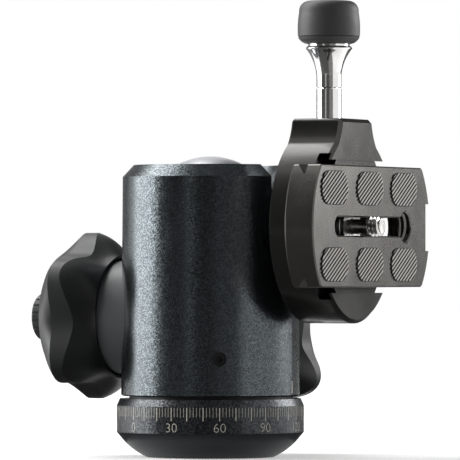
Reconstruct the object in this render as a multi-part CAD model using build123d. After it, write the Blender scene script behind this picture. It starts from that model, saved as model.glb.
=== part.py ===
from build123d import *
from math import cos, pi, radians, sin, sqrt, tan
import os

# Ball head for a camera tripod, in millimetres. The origin is the centre of the foot's bottom face,
# +Z is up. The stem rests in the drop notch at +X, the ball lock knob is at -X and the panorama
# knob at +Y. Radii are named _r, places on an axis _z, _x or _s (distance from the body's axis).

# Running clearances
running_gap = 0.05
face_gap = 0.04
ball_gap = 0.1
wide_gap = 0.3

# Foot and scale ring
foot_inset = 9.6
foot_knee_inset = 1.1
foot_knee_z = 6.7
ring_overhang = 1.4
ring_z = 8.0
ring_top_z = 18.75
ring_chamfer = 1.0
ring_chamfer_height = 2.2
ring_bore_room = 1.6
foot_spigot_z = 13.0
tripod_thread_r = 4.7625
tripod_thread_depth = 11.0
insert_r = 6.5
base_screw_r = 2.0
base_screw_head_r = 3.6
base_screw_head_rim = 0.5
base_screw_sink = 0.2
base_screw_circle_r = 14.0
base_screw_length = 20.0
base_screw_count = 4

# Panorama spindle and the parts that ride on it
spindle_top_z = 35.0
groove_depth_r = 2.4
groove_z = 31.6
groove_width = 3.4
groove_flank = 0.6
glide_ring_thickness = 0.85
glide_ring_inset = 2.6

# Housing
body_r = 28.6
body_draft = 0.5
body_top_z = 93.45
body_edge = 0.4
body_chamfer_width = 3.5
body_chamfer_height = 3.8
body_wall = 5.6
lip_depth = 9.05
lip_width = 2.75
lip_straight = 1.6
mouth_width = 1.0
notch_half_width = 10.5
set_screw_r = 2.25
set_screw_point_r = 1.5
set_screw_recess = 1.2
set_screw_socket_r = 1.3
set_screw_socket_depth = 2.0
set_screw_angles = (-60, 60, 180)
snap_ring_thickness = 1.1
snap_ring_depth = 1.0
snap_ring_width = 2.5
snap_ring_opening = 6.0
disc_thickness = 3.0
rail_height = 2.6
rail_width = 2.0

# Ball and its seats
ball_room = 0.3
ball_drop = 19.9
seat_ring_height = 5.4
seat_ring_lip = 1.5
cup_drop = 11.8
cup_bottom_z = 46.0

# Ball lock: shaft, wedge, collar, knob and friction dial, along -X. The values that end in _out
# are distances from the housing's side.
lock_z = 44.6
shaft_r = 3.0
shaft_inner_s = 8.0
wedge_back_s = 15.0
wedge_front_s = -13.0
wedge_half_width = 8.0
wedge_top_z = 50.6
wedge_slope = 14.0
wedge_bore_end_s = 5.5
lock_bush_r = 6.0
lock_bush_out = 1.4
clip_r = 4.8
clip_thickness = 1.0
collar_r = 18.3
collar_round_out = 3.4
collar_front_out = 9.4
collar_front_r = 12.8
thrust_washer_r = 7.0
thrust_washer_thickness = 0.6
knob_hub_r = 8.0
knob_floor_gap = 0.6
knob_cavity_gap = 0.7
knob_cavity_round = 2.6
knob_back_out = 2.9
knob_back_r = 19.9
knob_ridge_out = 13.8
knob_crest_out = 17.4
knob_tip_r = 28.0
knob_hollow_r = 21.7
knob_face_out = 22.6
knob_face_r = 20.2
knob_dome_height = 3.2
knob_dome_r = 12.0
knob_rim = 0.8
dial_r = 7.4
dial_edge = 0.5
dial_height = 9.2
dial_stem_r = 2.5
dial_stem_length = 4.0
dial_notches = 18
dial_notch_r = 0.55
lobe_count = 5
lock_knob_angle = 32.0

# Panorama lock, along +Y
pan_shaft_r = 2.0
pan_shoe_r = 3.4
pan_shoe_point_r = 1.5
pan_shoe_length = 5.0
pan_shoe_travel = 0.35
pan_bush_r = 6.0
pan_bush_out = 2.3
pan_cavity_r = 10.5
pan_cavity_depth = 2.2
pan_hub_r = 5.8
pan_back_out = 2.2
pan_back_r = 14.4
pan_ridge_out = 10.6
pan_crest_out = 13.6
pan_tip_r = 21.8
pan_hollow_r = 16.8
pan_face_out = 18.6
pan_face_r = 15.2
pan_dome_height = 2.2
pan_dome_r = 9.0
pan_rim = 0.6
pan_knob_angle = -13.0

# Stem and clamp, along +X from the ball's centre
spigot_r = 6.0
spigot_x = 6.2
neck_r = 10.2
flange_r = 15.0
flange_edge = 0.6
flange_x = 31.0
clamp_back_x = 33.9
clamp_margin = 11.5
clamp_front_x = 51.2
clamp_chamfer = 1.2
clamp_back_chamfer = 0.6
tab_rise = 3.5
tab_half_width = 12.5
tab_corner = 1.6
tab_meeting_round = 3.0
channel_x = 46.8
channel_margin = 3.8
lip_margin = 1.8
lip_thickness = 0.6
jaw_inset = 0.05
jaw_gap = 0.17
jaw_edge_gap = 0.15
jaw_pocket_gap = 0.25
jaw_reach = 1.4
jaw_travel = 3.0
jaw_tip_half_length = 18.6
jaw_back_half_length = 15.6
jaw_outer_half_length = 13.4
jaw_pin_r = 1.2
jaw_pin_spacing = 16.0
jaw_pin_depth = 3.0
jaw_pin_height = 2.0
lug_half_width = 6.0
lug_length = 6.6
lug_x = 37.0
clamp_screw_r = 3.0
clamp_screw_head_r = 6.0
clamp_screw_head_rim = 0.4
clamp_screw_socket_r = 2.3
clamp_screw_socket_depth = 2.4
clamp_screw_length = 19.0
locating_pin_r = 1.5
locating_pin_spacing = 22.0
locating_pin_depth = 3.0

# Clamp knob, standing on the tab
stalk_x = 41.35
stalk_screw_r = 3.0
sleeve_r = 4.0
sleeve_spigot_r = 5.0
sleeve_spigot_depth = 3.8
sleeve_length = 9.6
spindle_clip_r = 4.6
spindle_clip_thickness = 0.9
clip_room = 1.5
spindle_reach = 1.3
cone_rise = 4.1
cone_height = 9.55
cone_r = 7.6
band_height = 0.3
grip_r = 9.93
grip_seam_r = 9.8
grip_seam_height = 2.85
grip_belly_height = 5.5
grip_shoulder_r = 9.5
grip_shoulder_height = 10.5
grip_corner_r = 8.65
grip_corner_height = 13.05
grip_flat_r = 6.9
grip_height = 14.1
grip_core_height = 6.8

# Camera plate
plate_length = 95.3
plate_width = 38.4
plate_centre_y = -0.75
plate_back_x = 46.95
plate_front_x = 56.8
plate_end_bulge = 6.75
plate_corner = 1.5
plate_front_chamfer = 0.4
plate_back_chamfer = 0.6
groove_mouth_low_x = 48.9
groove_mouth_high_x = 52.3
groove_floor_low_x = 51.7
groove_floor_high_x = 52.1
groove_depth = 3.0
notch_width = 15.1
notch_depth = 3.75
recess_width = 16.0
recess_length = 70.5
recess_roof_x = 51.5
slot_half_width = 2.9
slot_end_y = -31.0
slot_chamfer = 0.45
plate_hole_r = 4.7625
plate_hole_y = 26.3
pad_length = 21.2
pad_width = 10.7
pad_depth = 0.8
pad_columns_y = (-31.8, -3.6, 24.2)
pad_row_inset = 7.2
rib_height = 0.55
rib_pitch = 1.32
rib_width = 0.68
rib_angle = 30.3

# Camera screw
camera_screw_y = -4.9
camera_thread_r = 3.175
camera_neck_r = 2.6
camera_head_r = 7.0
camera_head_x = 47.6
camera_head_thickness = 2.8
camera_head_edge = 0.4
camera_thread_start_x = 57.0
camera_thread_end_x = 61.8
camera_thread_chamfer = 0.5
camera_washer_thickness = 1.0
coin_slot_width = 1.6
coin_slot_depth = 1.4

# Places worked out from the sizes above
bore_r = body_r - body_wall
spindle_r = bore_r - 0.1
groove_r = spindle_r - groove_depth_r
ring_bore_r = spindle_r + ring_bore_room
ring_r = body_r + ring_overhang
foot_r = ring_r - foot_inset
foot_knee_r = ring_r - foot_knee_inset
lip_r = bore_r - lip_width
mouth_r = bore_r - mouth_width
ball_r = bore_r - ball_room
seat_r = ball_r + ball_gap
body_bottom_z = ring_top_z + glide_ring_thickness
lip_z = body_top_z - lip_depth
ball_z = body_top_z - ball_drop
cup_top_z = ball_z - cup_drop
snap_ring_z = spindle_top_z + wide_gap
disc_top_z = snap_ring_z + snap_ring_thickness + disc_thickness
wedge_fall = tan(radians(wedge_slope))
lock_bush_inner_s = bore_r + running_gap
lock_bush_outer_s = body_r + lock_bush_out
collar_round_s = body_r + collar_round_out
collar_front_s = body_r + collar_front_out
knob_face_s = body_r + knob_face_out
knob_shaft_end_s = knob_face_s - dial_stem_length - 2
dial_front_s = knob_face_s + dial_height
pan_shoe_inner_t = bore_r + 0.2
shoe_outer_t = pan_shoe_inner_t + pan_shoe_length
pan_bush_inner_t = bore_r + snap_ring_depth + wide_gap
pan_bush_outer_t = body_r + pan_bush_out
pan_back_t = body_r + pan_back_out
pan_face_t = body_r + pan_face_out
ball_flat_x = sqrt(ball_r**2 - neck_r**2)
stem_bore_end_x = channel_x - clamp_screw_length - 0.8
jaw_tip_v = plate_width / 2 - jaw_reach
channel_half_width = plate_width / 2 + channel_margin
lip_half_width = plate_width / 2 + lip_margin
pad_row_z = plate_width / 2 - pad_row_inset
clamp_r = plate_width / 2 + clamp_margin
tab_top = clamp_r + tab_rise
sleeve_top = tab_top + sleeve_length
spindle_end = jaw_tip_v - spindle_reach
cone_start = sleeve_top + cone_rise
band_top = cone_start + cone_height + band_height
grip_core_top = band_top + grip_core_height

# Frames whose +Z runs along each mechanism's own axis
BALL_LOCK = Plane(origin=(0, 0, lock_z), x_dir=(0, -1, 0), z_dir=(-1, 0, 0))
PAN_LOCK = Plane(origin=(0, 0, groove_z), x_dir=(-1, 0, 0), z_dir=(0, 1, 0))
CLAMP = Plane(origin=(0, 0, ball_z), x_dir=(0, 1, 0), z_dir=(1, 0, 0))
STALK = Plane(origin=(stalk_x, 0, ball_z), x_dir=(1, 0, 0), z_dir=(0, 0, 1))


def outline(start, *steps):
    """Closed outline: each step is the next corner, or an arc given as (middle, end)."""
    edges, here = [], start
    for step in steps:
        if isinstance(step[0], tuple):
            edges.append(ThreePointArc(here, *step))
            here = step[1]
        else:
            edges.append(Line(here, step))
            here = step
    if here != start:
        edges.append(Line(here, start))
    return make_face(edges)


def turned(start, *steps):
    """Solid turned about Z from its half section, in (radius, height) points."""
    return revolve(Plane.XZ * outline(start, *steps), Axis.Z)


def rod(radius, low, high):
    """Round bar on Z between two heights."""
    return Pos(0, 0, low) * extrude(Circle(radius), high - low)


def tube(outer, inner, low, high):
    """Round tube on Z between two heights."""
    return Pos(0, 0, low) * extrude(Circle(outer) - Circle(inner), high - low)


def between(low, high, share):
    """Number at a share of the way from low to high."""
    return low + (high - low) * share


def block(x, y, z):
    """Box given by its limits along each axis."""
    size = [high - low for low, high in (x, y, z)]
    middle = [(low + high) / 2 for low, high in (x, y, z)]
    return Pos(*middle) * Box(*size)


def around(count, radius, shape):
    """Copies of a shape, evenly spaced on a circle about Z."""
    return [Rot(0, 0, 360 / count * (i + 0.5)) * Pos(radius, 0, 0) * shape for i in range(count)]


# Foot

def base_plate():
    swell = (between(foot_r, foot_knee_r, 0.55), foot_knee_z * 0.42)
    plate = turned(
        (0, 0), (foot_r, 0), (swell, (foot_knee_r, foot_knee_z)),
        (ring_r, ring_z), (ring_bore_r - running_gap, ring_z),
        (ring_bore_r - running_gap, foot_spigot_z), (0, foot_spigot_z),
    )
    plate -= rod(insert_r, -1, foot_spigot_z + 1)
    for hole in around(base_screw_count, base_screw_circle_r, base_screw(running_gap)):
        plate -= hole
    return plate


def base_screw(gap=0.0):
    """Countersunk screw, flush with the bottom face; gap makes the hole for it."""
    head_r = base_screw_head_r + gap
    thread_r = base_screw_r + gap
    low = 0 if gap else base_screw_sink
    return turned(
        (0, low), (head_r, low), (head_r, base_screw_head_rim),
        (thread_r, base_screw_head_rim + head_r - thread_r),
        (thread_r, base_screw_length + gap), (0, base_screw_length + gap),
    )


def thread_insert():
    insert = rod(insert_r, 0, foot_spigot_z)
    return insert - rod(tripod_thread_r, -1, tripod_thread_depth)


def scale_ring():
    return turned(
        (ring_bore_r, ring_z), (ring_r, ring_z), (ring_r, ring_top_z - ring_chamfer_height),
        (ring_r - ring_chamfer, ring_top_z), (ring_bore_r, ring_top_z),
    )


def pan_spindle():
    low = groove_z - groove_width / 2
    high = groove_z + groove_width / 2
    spindle = turned(
        (0, foot_spigot_z), (spindle_r, foot_spigot_z), (spindle_r, low - groove_flank),
        (groove_r, low),
        (groove_r, high), (spindle_r, high + groove_flank), (spindle_r, spindle_top_z),
        (0, spindle_top_z),
    )
    for hole in around(base_screw_count, base_screw_circle_r, base_screw(running_gap)):
        spindle -= hole
    return spindle


def glide_ring():
    return tube(body_r - glide_ring_inset, bore_r + 0.5, ring_top_z, body_bottom_z)


# Housing

def drop_notch():
    """Room for the stem at +X: a U with its round bottom at the ball's height."""
    side = Rectangle(2 * notch_half_width, body_top_z - ball_z + 2, align=(Align.CENTER, Align.MIN))
    return CLAMP * extrude(Circle(notch_half_width) + side, body_r + 5)


def set_screw_hole(angle):
    level = Pos(0, 0, groove_z) * Rot(0, 0, angle) * Rot(0, 90, 0)
    return level * rod(set_screw_r + running_gap, bore_r - 2, body_r + 1)


def body_side():
    """Lower and upper end of the housing's side, which is slightly drawn in towards the top."""
    low = (body_r, body_bottom_z + body_edge)
    return low, (body_r - body_draft, body_top_z - body_chamfer_height)


def housing():
    funnel_z = lip_z + lip_straight
    side_low, side_high = body_side()
    shell = turned(
        (bore_r, body_bottom_z), (body_r - body_edge, body_bottom_z), side_low, side_high,
        (side_high[0] - body_chamfer_width, body_top_z), (mouth_r, body_top_z),
        (lip_r, funnel_z), (lip_r, lip_z), (bore_r, lip_z),
    )
    ring_high = snap_ring_z + snap_ring_thickness
    shell -= tube(bore_r + snap_ring_depth, bore_r - 1, snap_ring_z, ring_high)
    shell -= drop_notch()
    for angle in set_screw_angles:
        shell -= set_screw_hole(angle)
    shell -= BALL_LOCK * rod(lock_bush_r, bore_r - 5, body_r + 1)
    shell -= PAN_LOCK * rod(pan_bush_r, bore_r - 5, body_r + 1)
    return shell


def upper_seat_ring():
    ring = tube(bore_r, lip_r - seat_ring_lip, lip_z - seat_ring_height, lip_z)
    ring -= Pos(0, 0, ball_z) * Sphere(seat_r)
    return ring - drop_notch()


def snap_ring():
    high = snap_ring_z + snap_ring_thickness
    ring = tube(bore_r + snap_ring_depth, bore_r - snap_ring_width, snap_ring_z, high)
    side = snap_ring_opening / 2
    return ring - block((0, body_r), (-side, side), (snap_ring_z - 1, high + 1))


def support_disc():
    """Disc that carries the wedge, with a rail along each side of it."""
    disc = rod(bore_r, disc_top_z - disc_thickness, disc_top_z)
    inner = wedge_half_width + running_gap
    rails = Sketch() + [
        Pos(0, side * (inner + rail_width / 2)) * Rectangle(2 * wedge_back_s, rail_width)
        for side in (-1, 1)
    ]
    return disc + Pos(0, 0, disc_top_z) * extrude(rails, rail_height)


def set_screws():
    """Screws with a dog point in the spindle's groove, which hold the housing on the foot."""
    point_end = groove_r + wide_gap
    shoulder = bore_r + wide_gap
    outer = body_r - set_screw_recess
    screw = turned(
        (0, point_end), (set_screw_point_r, point_end), (set_screw_point_r, shoulder),
        (set_screw_r, shoulder), (set_screw_r, outer), (0, outer),
    )
    socket = extrude(RegularPolygon(set_screw_socket_r, 6), set_screw_socket_depth + 1)
    screw -= Pos(0, 0, outer - set_screw_socket_depth) * socket
    level = Pos(0, 0, groove_z)
    return [level * Rot(0, 0, angle) * Rot(0, 90, 0) * screw for angle in set_screw_angles]


# Ball and lock

def ball_cup():
    """Sliding cup under the ball; the roof of its channel lies on the wedge."""
    cup = rod(bore_r - ball_gap, cup_bottom_z, cup_top_z)
    cup -= Pos(0, 0, ball_z) * Sphere(seat_r)
    reach = bore_r + 2
    roof = wedge_top_z + face_gap
    channel = outline(
        (-reach, cup_bottom_z - 1), (reach, cup_bottom_z - 1),
        (reach, roof - (wedge_back_s + reach) * wedge_fall),
        (-reach, roof + (reach - wedge_back_s) * wedge_fall),
    )
    width = 2 * (wedge_half_width + wide_gap)
    low_corner = wedge_back_s + (roof - cup_bottom_z + 1) / wedge_fall - 2 * wedge_back_s
    if low_corner < reach:
        channel = outline(
            (-reach, cup_bottom_z - 1), (low_corner, cup_bottom_z - 1),
            (-reach, roof + (reach - wedge_back_s) * wedge_fall),
        )
    return cup - extrude(Plane.XZ * channel, width / 2, both=True)


def lock_wedge():
    section = outline(
        (-wedge_back_s, disc_top_z), (-wedge_front_s, disc_top_z),
        (-wedge_front_s, wedge_top_z - (wedge_back_s - wedge_front_s) * wedge_fall),
        (-wedge_back_s, wedge_top_z),
    )
    wedge = extrude(Plane.XZ * section, wedge_half_width, both=True)
    return wedge - BALL_LOCK * rod(shaft_r + running_gap, wedge_bore_end_s, wedge_back_s + 1)


def main_bush():
    return BALL_LOCK * tube(lock_bush_r, shaft_r + running_gap, lock_bush_inner_s, lock_bush_outer_s)


def knob_collar():
    """Fixed dome between the housing and the ball lock knob, seated on the round body."""
    round_r = collar_r - collar_front_r
    round_s = collar_front_s - collar_round_s
    side_low, side_high = body_side()
    body = turned((0, side_low[1]), side_low, side_high, (0, side_high[1]))
    dome = turned(
        (0, body_r / 2), (collar_r, body_r / 2), (collar_r, collar_round_s),
        (
            (collar_front_r + round_r * 0.66, collar_round_s + round_s * 0.64),
            (collar_front_r, collar_front_s),
        ),
        (0, collar_front_s),
    )
    dome -= rod(lock_bush_r + running_gap, 0, lock_bush_outer_s)
    dome -= rod(shaft_r + wide_gap, 0, collar_front_s + 1)
    return BALL_LOCK * dome - body


def thrust_washer():
    low = collar_front_s
    return BALL_LOCK * tube(thrust_washer_r, shaft_r + 0.2, low, low + thrust_washer_thickness)


def main_shaft():
    return BALL_LOCK * rod(shaft_r, shaft_inner_s, knob_shaft_end_s)


def shaft_clip():
    high = lock_bush_inner_s - 0.2
    return BALL_LOCK * tube(clip_r, shaft_r, high - clip_thickness, high)


def lobed_section(distance, tip_r, hollow_r, phase):
    """Closed wavy outline with a round lobe and a hollow for each finger."""
    middle, wave = (tip_r + hollow_r) / 2, (tip_r - hollow_r) / 2
    points = []
    steps = 8 * lobe_count
    for i in range(steps):
        turn = 2 * pi * i / steps
        radius = middle + wave * cos(lobe_count * turn)
        points.append((radius * cos(turn + radians(phase)), radius * sin(turn + radians(phase))))
    return Pos(0, 0, distance) * make_face(Spline(*points, periodic=True))


def lobed_knob(back_s, back_r, ridge_s, crest_s, tip_r, hollow_r, face_s, face_r, phase):
    """Moulded knob: a widening form at the back and a narrowing one in front, which meet in a
    ridge that waves with the lobes."""
    widening = [
        (between(back_s, ridge_s, along), between(back_r, tip_r, tip),
         between(back_r, hollow_r, dip))
        for along, tip, dip in ((0, 0.04, -0.17), (0.5, 0.7, 0.6), (1, 1, 2.55))
    ]
    widening.append((face_s + 1, between(back_r, tip_r, 1.3), between(back_r, hollow_r, 5.5)))
    barrel = [(back_s - 1, tip_r, hollow_r), (crest_s, tip_r - 0.1, hollow_r + 0.2)]
    slope = [
        barrel[-1],
        (between(crest_s, face_s, 0.48), between(tip_r, face_r, 0.436),
         between(hollow_r, face_r, 0.07)),
        (face_s, face_r, face_r),
    ]
    forms = [
        loft([lobed_section(*section, phase) for section in sections])
        for sections in (widening, barrel, slope)
    ]
    return forms[0] & (forms[1] + forms[2])


def knob_front(face_s, face_r, rim, dome_r, dome_height):
    """Shallow turned cone on a knob's face, behind a small step round the rim."""
    inner = face_r - rim * 0.6
    return turned(
        (0, face_s - 1), (inner, face_s - 1), (inner, face_s), (inner - rim, face_s + rim),
        (dome_r, face_s + dome_height), (0, face_s + dome_height),
    )


def main_knob():
    knob = lobed_knob(
        body_r + knob_back_out, knob_back_r, body_r + knob_ridge_out, body_r + knob_crest_out,
        knob_tip_r, knob_hollow_r, knob_face_s, knob_face_r, lock_knob_angle,
    )
    knob += knob_front(knob_face_s, knob_face_r, knob_rim, knob_dome_r, knob_dome_height)
    cavity_r = collar_r + knob_cavity_gap
    hub_s = collar_front_s + thrust_washer_thickness
    floor_s = hub_s + knob_floor_gap
    knob -= turned(
        (0, bore_r), (cavity_r, bore_r), (cavity_r, collar_round_s + knob_cavity_round),
        (collar_front_r + knob_cavity_round, floor_s), (knob_hub_r, floor_s), (knob_hub_r, hub_s),
        (0, hub_s),
    )
    knob -= rod(shaft_r, hub_s - 1, knob_shaft_end_s)
    knob -= rod(dial_stem_r + running_gap, knob_face_s - dial_stem_length - wide_gap,
                dial_front_s)
    knob -= rod(dial_r + wide_gap, knob_face_s, dial_front_s)
    return BALL_LOCK * knob


def friction_dial():
    low = knob_face_s + 0.2
    dial = turned(
        (0, low - dial_stem_length), (dial_stem_r, low - dial_stem_length), (dial_stem_r, low),
        (dial_r, low), (dial_r, dial_front_s - dial_edge), (dial_r - dial_edge, dial_front_s),
        (0, dial_front_s),
    )
    notch = rod(dial_notch_r, knob_face_s + knob_dome_height - 0.5, dial_front_s + 1)
    for cut in around(dial_notches, dial_r + 0.15, notch):
        dial -= cut
    return BALL_LOCK * dial


# Panorama lock

def pan_bush():
    bush = rod(pan_bush_r, pan_bush_inner_t, pan_bush_outer_t)
    bush -= rod(pan_shoe_r + running_gap, 0, shoe_outer_t + pan_shoe_travel + 0.2)
    return PAN_LOCK * (bush - rod(pan_shaft_r + running_gap, 0, pan_bush_outer_t + 1))


def pan_shoe():
    """Threaded shoe whose point presses into the spindle's groove."""
    shoe = turned(
        (0, groove_r + 0.2), (pan_shoe_point_r, groove_r + 0.2),
        (pan_shoe_point_r, pan_shoe_inner_t),
        (pan_shoe_r, pan_shoe_inner_t), (pan_shoe_r, shoe_outer_t), (0, shoe_outer_t),
    )
    return PAN_LOCK * (shoe - rod(pan_shaft_r + running_gap, pan_shoe_inner_t + 1, shoe_outer_t + 1))


def pan_shaft():
    low = pan_shoe_inner_t + 1 + pan_shoe_travel + 0.5
    return PAN_LOCK * rod(pan_shaft_r, low, pan_face_t - 4)


def pan_knob():
    knob = lobed_knob(
        pan_back_t, pan_back_r, body_r + pan_ridge_out, body_r + pan_crest_out, pan_tip_r,
        pan_hollow_r, pan_face_t, pan_face_r, pan_knob_angle,
    )
    knob += knob_front(pan_face_t, pan_face_r, pan_rim, pan_dome_r, pan_dome_height)
    hub_t = pan_bush_outer_t + 0.1
    floor_t = pan_back_t + pan_cavity_depth
    knob -= turned(
        (0, pan_back_t - 1), (pan_cavity_r, pan_back_t - 1), (pan_cavity_r, floor_t),
        (pan_hub_r, floor_t), (pan_hub_r, hub_t), (0, hub_t),
    )
    return PAN_LOCK * (knob - rod(pan_shaft_r, pan_back_t - 1, pan_face_t - 4))


# Ball and stem

def ball():
    shape = Pos(0, 0, ball_z) * Sphere(ball_r)
    far = ball_r + 5
    shape -= block((ball_flat_x, ball_flat_x + far), (-far, far), (ball_z - far, ball_z + far))
    return shape - CLAMP * rod(spigot_r + 0.03, spigot_x - 0.2, far)


def stem():
    neck_x = ball_flat_x + face_gap
    shape = turned(
        (0, spigot_x), (spigot_r, spigot_x), (spigot_r, neck_x), (neck_r, neck_x),
        (neck_r, flange_x - 1), ((neck_r + 0.3, flange_x - 0.3), (neck_r + 1, flange_x)),
        (flange_r - flange_edge, flange_x), (flange_r, flange_x + flange_edge), (flange_r, clamp_back_x),
        (0, clamp_back_x),
    )
    shape -= rod(clamp_screw_r, stem_bore_end_x, clamp_back_x + 1)
    for side in (-1, 1):
        shape -= Pos(side * locating_pin_spacing / 2, 0, 0) * rod(
            locating_pin_r, clamp_back_x - locating_pin_depth, clamp_back_x + 1)
    return CLAMP * shape


# Clamp

def tab_outline():
    """Tab above the round clamp, with hollow flanks that run into the circle."""
    foot = (clamp_r * 0.635, clamp_r * 0.749)
    top = (tab_half_width, tab_top)
    waist = (between(top[0], foot[0], 0.33), between(foot[1], top[1], 0.45))
    mirror = [(-x, y) for x, y in (top, waist, foot)]
    return outline(
        (foot[0], 0), foot, (waist, top), mirror[0], (mirror[1], mirror[2]), (-foot[0], 0),
    )


def channel_section(half_width, low_x, high_x):
    """Straight groove across the clamp along Y, between two depths."""
    return block((-clamp_r - 5, clamp_r + 5), (-half_width, half_width), (low_x, high_x))


def jaw_outline(grow=0.0):
    """Face of the upper jaw: widest at its lip, drawn in towards its back edge."""
    return outline(
        (-jaw_tip_half_length - grow, jaw_tip_v), (jaw_tip_half_length + grow, jaw_tip_v),
        (jaw_back_half_length + grow, lip_half_width + grow * 0.3),
        (jaw_outer_half_length + grow, channel_half_width + grow * 0.3),
        (-jaw_outer_half_length - grow, channel_half_width + grow * 0.3),
        (-jaw_back_half_length - grow, lip_half_width + grow * 0.3),
    )


def jaw_bar():
    """Upper jaw without its lug: a bar whose V lip enters the plate's groove."""
    edge = plate_width / 2 + jaw_edge_gap
    slope = (groove_floor_low_x - groove_mouth_low_x) / groove_depth
    low_at_tip = groove_mouth_low_x + jaw_reach * slope + jaw_gap
    bar_low = channel_x + jaw_inset
    bar_high = clamp_front_x - lip_thickness - jaw_inset
    profile = outline(
        (channel_half_width - jaw_inset, bar_low), (channel_half_width - jaw_inset, bar_high),
        (jaw_tip_v, bar_high), (jaw_tip_v, low_at_tip), (edge, groove_mouth_low_x + jaw_gap),
        (edge, bar_low),
    )
    bar = extrude(Plane.YZ * profile, clamp_r, both=True)
    return bar & (Pos(0, 0, bar_low - 1) * extrude(jaw_outline(), bar_high - bar_low + 2))


def fixed_jaw():
    jaw = Rot(0, 0, 180) * jaw_bar()
    for hole in jaw_pin_bars():
        jaw -= hole
    return CLAMP * jaw


def jaw_pin_bars():
    centre = -(channel_half_width + plate_width / 2) / 2
    pin = rod(jaw_pin_r, channel_x - jaw_pin_depth, channel_x + jaw_pin_height)
    return [Pos(side * jaw_pin_spacing / 2, centre, 0) * pin for side in (-1, 1)]


def jaw_pins():
    return [CLAMP * pin for pin in jaw_pin_bars()]


def lug(grow, low_grow, high_grow):
    """Block behind the moving jaw that takes the spindle's thread; grows into its pocket."""
    half = lug_half_width + grow
    back = channel_half_width - jaw_inset
    return block(
        (-half, half), (back - lug_length - low_grow, back + high_grow),
        (lug_x - grow, channel_x + 1),
    )


def sliding_jaw():
    plate_room = block((-clamp_r, clamp_r), (0, plate_width / 2 + jaw_edge_gap),
                       (channel_x + jaw_inset, clamp_front_x))
    jaw = CLAMP * (jaw_bar() + (lug(0, 0, 0) - plate_room))
    return jaw - STALK * rod(stalk_screw_r + running_gap, 0, clamp_r)


def clamp_screw():
    """Countersunk screw that ties the clamp to the stem."""
    head_x = channel_x - 0.1
    cone = clamp_screw_head_r - clamp_screw_r
    screw = turned(
        (0, head_x - clamp_screw_length), (clamp_screw_r, head_x - clamp_screw_length),
        (clamp_screw_r, head_x - clamp_screw_head_rim - cone),
        (clamp_screw_head_r, head_x - clamp_screw_head_rim),
        (clamp_screw_head_r, head_x), (0, head_x),
    )
    socket = extrude(RegularPolygon(clamp_screw_socket_r, 6), clamp_screw_socket_depth + 1)
    return CLAMP * (screw - Pos(0, 0, head_x - clamp_screw_socket_depth) * socket)


def locating_pins():
    return [
        CLAMP * (Pos(side * locating_pin_spacing / 2, 0, 0) * rod(
            locating_pin_r, clamp_back_x - locating_pin_depth + 0.1,
            clamp_back_x + locating_pin_depth - 0.1))
        for side in (-1, 1)
    ]


def clamp_outline():
    """Round clamp and its tab, with the corners and the meeting of the two rounded."""
    face = Circle(clamp_r) + tab_outline()
    face = fillet(face.vertices().group_by(Axis.Y)[-1], tab_corner)
    meeting = [v for v in face.vertices() if clamp_r / 2 < v.Y < tab_top - 3 and v.X != 0]
    return fillet(meeting, tab_meeting_round)


def clamp_body():
    thickness = clamp_front_x - clamp_back_x
    body = Pos(0, 0, clamp_back_x) * extrude(clamp_outline(), thickness)
    body = chamfer(body.edges().group_by(Axis.Z)[-1], clamp_chamfer)
    body = chamfer(body.edges().group_by(Axis.Z)[0], clamp_back_chamfer)
    lip_low = clamp_front_x - lip_thickness
    body -= channel_section(lip_half_width, channel_x, clamp_front_x + 1)
    body -= channel_section(channel_half_width, channel_x, lip_low)
    pocket = extrude(jaw_outline(jaw_pocket_gap), lip_low - channel_x)
    body -= Pos(0, jaw_travel, channel_x) * pocket
    body -= lug(jaw_pocket_gap, 2 * jaw_pocket_gap, jaw_travel + jaw_pocket_gap)
    rim_x = channel_x - 0.1 - clamp_screw_head_rim
    cone = clamp_screw_head_r - clamp_screw_r
    body -= rod(clamp_screw_r, clamp_back_x - 1, channel_x)
    body -= turned(
        (0, rim_x - cone), (clamp_screw_r, rim_x - cone), (clamp_screw_head_r, rim_x),
        (clamp_screw_head_r, channel_x + 1), (0, channel_x + 1),
    )
    for side in (-1, 1):
        body -= Pos(side * locating_pin_spacing / 2, 0, 0) * rod(
            locating_pin_r, clamp_back_x - 1, clamp_back_x + locating_pin_depth)
    for hole in jaw_pin_bars():
        body -= hole
    body = CLAMP * body
    spigot_low = tab_top - sleeve_spigot_depth
    body -= STALK * rod(stalk_screw_r + wide_gap, lip_half_width, tab_top + 1)
    body -= STALK * rod(sleeve_spigot_r, spigot_low - clip_room, tab_top + 1)
    return body


# Clamp knob

def stalk_sleeve():
    spigot_low = tab_top - sleeve_spigot_depth
    sleeve = rod(sleeve_spigot_r, spigot_low, tab_top) + rod(sleeve_r, tab_top, sleeve_top)
    return STALK * (sleeve - rod(stalk_screw_r + running_gap, spigot_low - 1, sleeve_top + 1))


def clamp_spindle():
    """Chromed spindle: screw, straight stretch, trumpet flare and the band under the grip."""
    low = sleeve_top + wide_gap
    flare_mid = (between(sleeve_r, cone_r, 0.334), cone_start + cone_height * 0.535)
    return STALK * turned(
        (0, spindle_end), (stalk_screw_r, spindle_end), (stalk_screw_r, low), (sleeve_r, low),
        (sleeve_r, cone_start), (flare_mid, (cone_r, cone_start + cone_height)),
        (cone_r, band_top), (sleeve_r, band_top), (sleeve_r, grip_core_top), (0, grip_core_top),
    )


def spindle_clip():
    low = tab_top - sleeve_spigot_depth - (clip_room + spindle_clip_thickness) / 2
    return STALK * tube(spindle_clip_r, stalk_screw_r, low, low + spindle_clip_thickness)


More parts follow.
